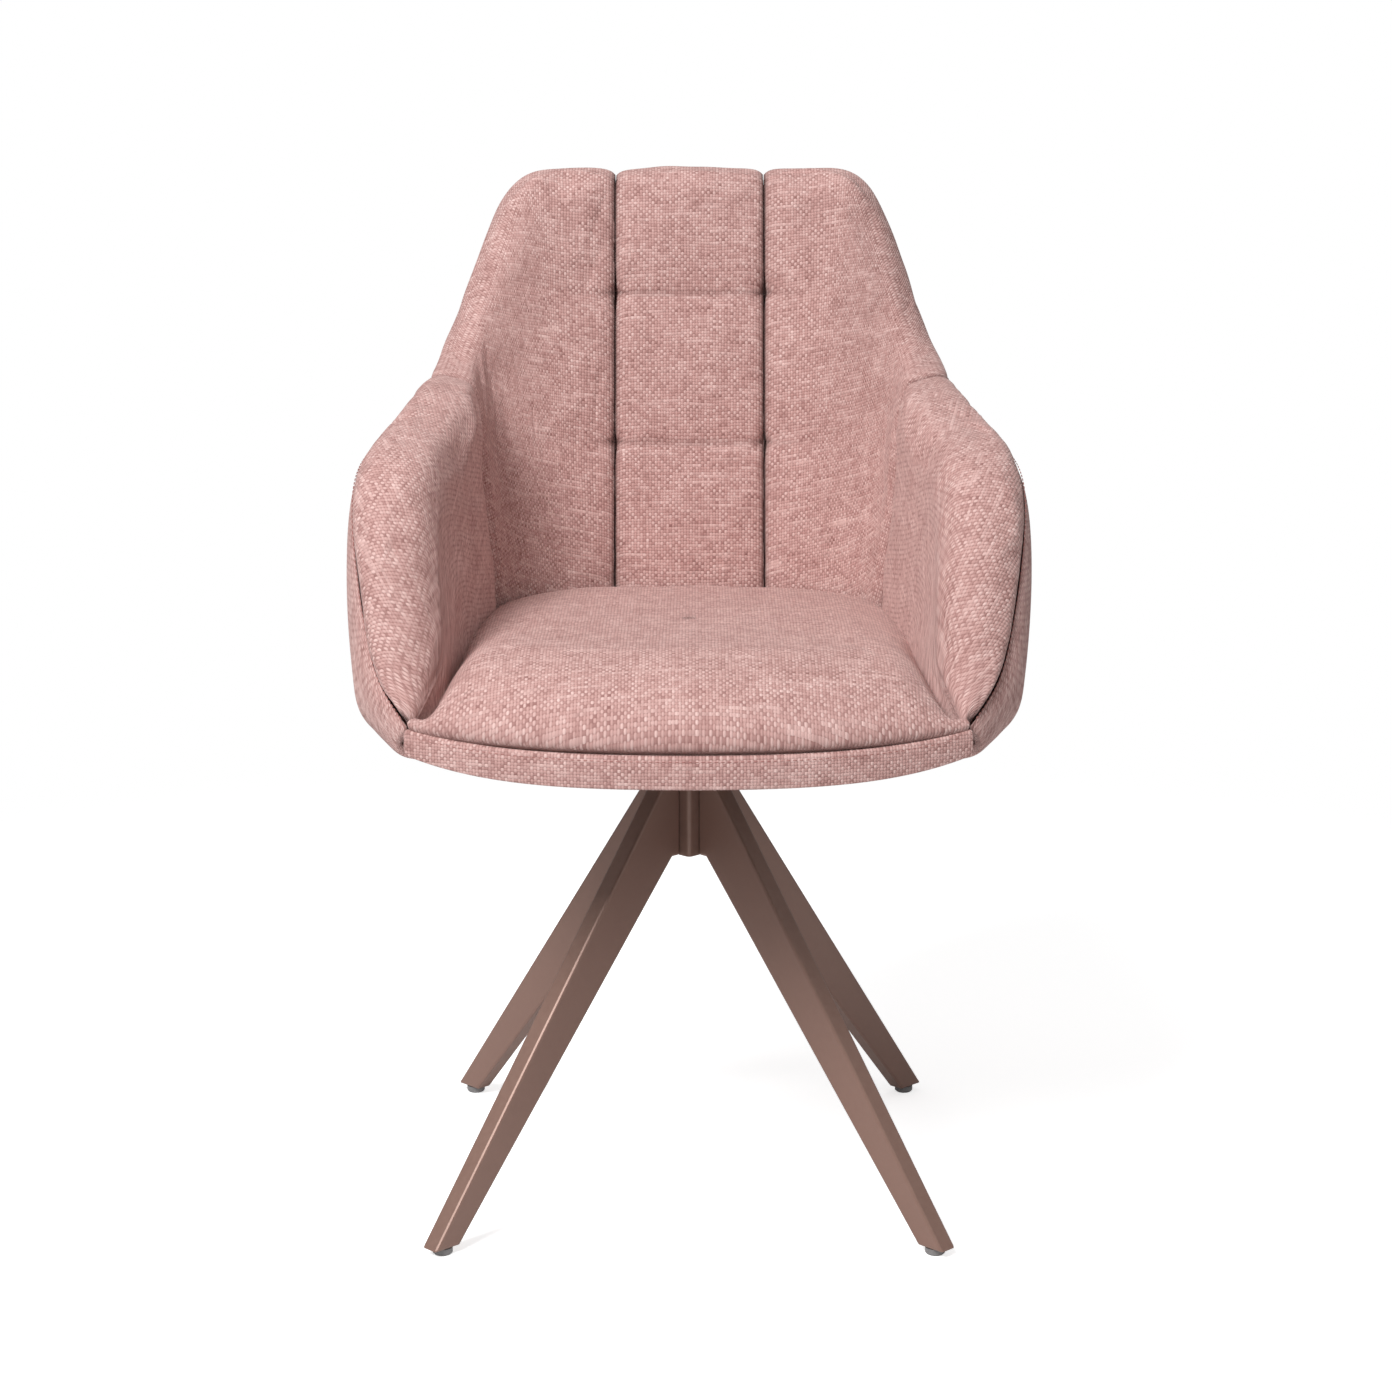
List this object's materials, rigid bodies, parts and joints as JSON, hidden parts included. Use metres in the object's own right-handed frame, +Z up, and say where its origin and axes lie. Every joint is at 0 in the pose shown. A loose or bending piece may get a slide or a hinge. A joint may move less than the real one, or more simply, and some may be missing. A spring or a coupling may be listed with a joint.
{
  "type": "upholstered swivel armchair",
  "caption": "Upholstered bucket armchair with a padded seat, back and arms, on a four-legged pyramid steel base with a ball-bearing swivel.",
  "frame": {"origin": "on the floor, on the swivel axis, midway between the four feet and in the middle of the chair's width and depth", "axes": "+Z up along the swivel axis; the chair faces -Y, and +X is to the sitter's left"},
  "size_m": [0.5736, 0.5765, 0.883],
  "materials": {
    "powder_coat": "satin bronze-brown powder coat with a fine grain",
    "glide_plastic": "moulded grey plastic",
    "black_plastic": "moulded black plastic",
    "nylon": "natural nylon",
    "bare_steel": "zinc-plated steel",
    "ball_steel": "polished bearing steel",
    "woven_fabric": "dusty rose heathered plain weave",
    "outer_fabric": "dusty rose heathered plain weave",
    "plywood": "unfinished plywood",
    "non_woven": "black non-woven sheet",
    "webbing": "woven polypropylene strap"
  },
  "bodies": {
    "base": {"leg_front_left": "powder_coat", "leg_front_right": "powder_coat", "leg_rear_left": "powder_coat", "leg_rear_right": "powder_coat", "column_tube": "powder_coat", "glide_front_left": "glide_plastic", "glide_front_right": "glide_plastic", "glide_rear_left": "glide_plastic", "glide_rear_right": "glide_plastic", "column_plug": "black_plastic", "bearing_plate": "powder_coat", "bearing_sleeve": "bare_steel", "lower_bush": "nylon", "upper_bush": "nylon", "lower_race": "bare_steel"},
    "cage": {"ball_cage": "nylon", "bearing_ball_1": "ball_steel", "bearing_ball_2": "ball_steel", "bearing_ball_3": "ball_steel", "bearing_ball_4": "ball_steel", "bearing_ball_5": "ball_steel", "bearing_ball_6": "ball_steel", "bearing_ball_7": "ball_steel", "bearing_ball_8": "ball_steel"},
    "seat": {"swivel_spindle": "bare_steel", "spindle_washer": "bare_steel", "retaining_clip": "bare_steel", "upper_race": "bare_steel", "swivel_plate": "powder_coat", "seat_bolt_1": "bare_steel", "seat_bolt_2": "bare_steel", "seat_bolt_3": "bare_steel", "seat_bolt_4": "bare_steel", "tee_nut_1": "bare_steel", "tee_nut_2": "bare_steel", "tee_nut_3": "bare_steel", "tee_nut_4": "bare_steel", "seat_board": "plywood", "dust_cover": "non_woven", "seat_cushion": "woven_fabric", "front_border": "woven_fabric", "back_pad_left": "woven_fabric", "back_pad_centre": "woven_fabric", "back_pad_right": "woven_fabric", "arm_pad_left": "woven_fabric", "arm_pad_right": "woven_fabric", "outer_cover_back": "outer_fabric", "outer_cover_left": "outer_fabric", "outer_cover_right": "outer_fabric", "rim_hoop": "bare_steel", "seat_rail": "bare_steel", "back_stay_left": "bare_steel", "back_stay_right": "bare_steel", "back_strap_1": "webbing", "back_strap_2": "webbing", "back_strap_3": "webbing"}
  },
  "joints": [
    {"name": "seat_swivel", "type": "hinge", "parent": "base", "child": "seat", "pos_m": [0, 0, 0.41], "axis": [0, 0, 1], "continuous": true},
    {"name": "cage_turn", "type": "hinge", "parent": "base", "child": "cage", "pos_m": [0, 0, 0.4064], "axis": [0, 0, 1], "continuous": true}
  ],
  "couplings": [
    {"joint": "cage_turn", "follows": "seat_swivel", "ratio": 0.5}
  ]
}
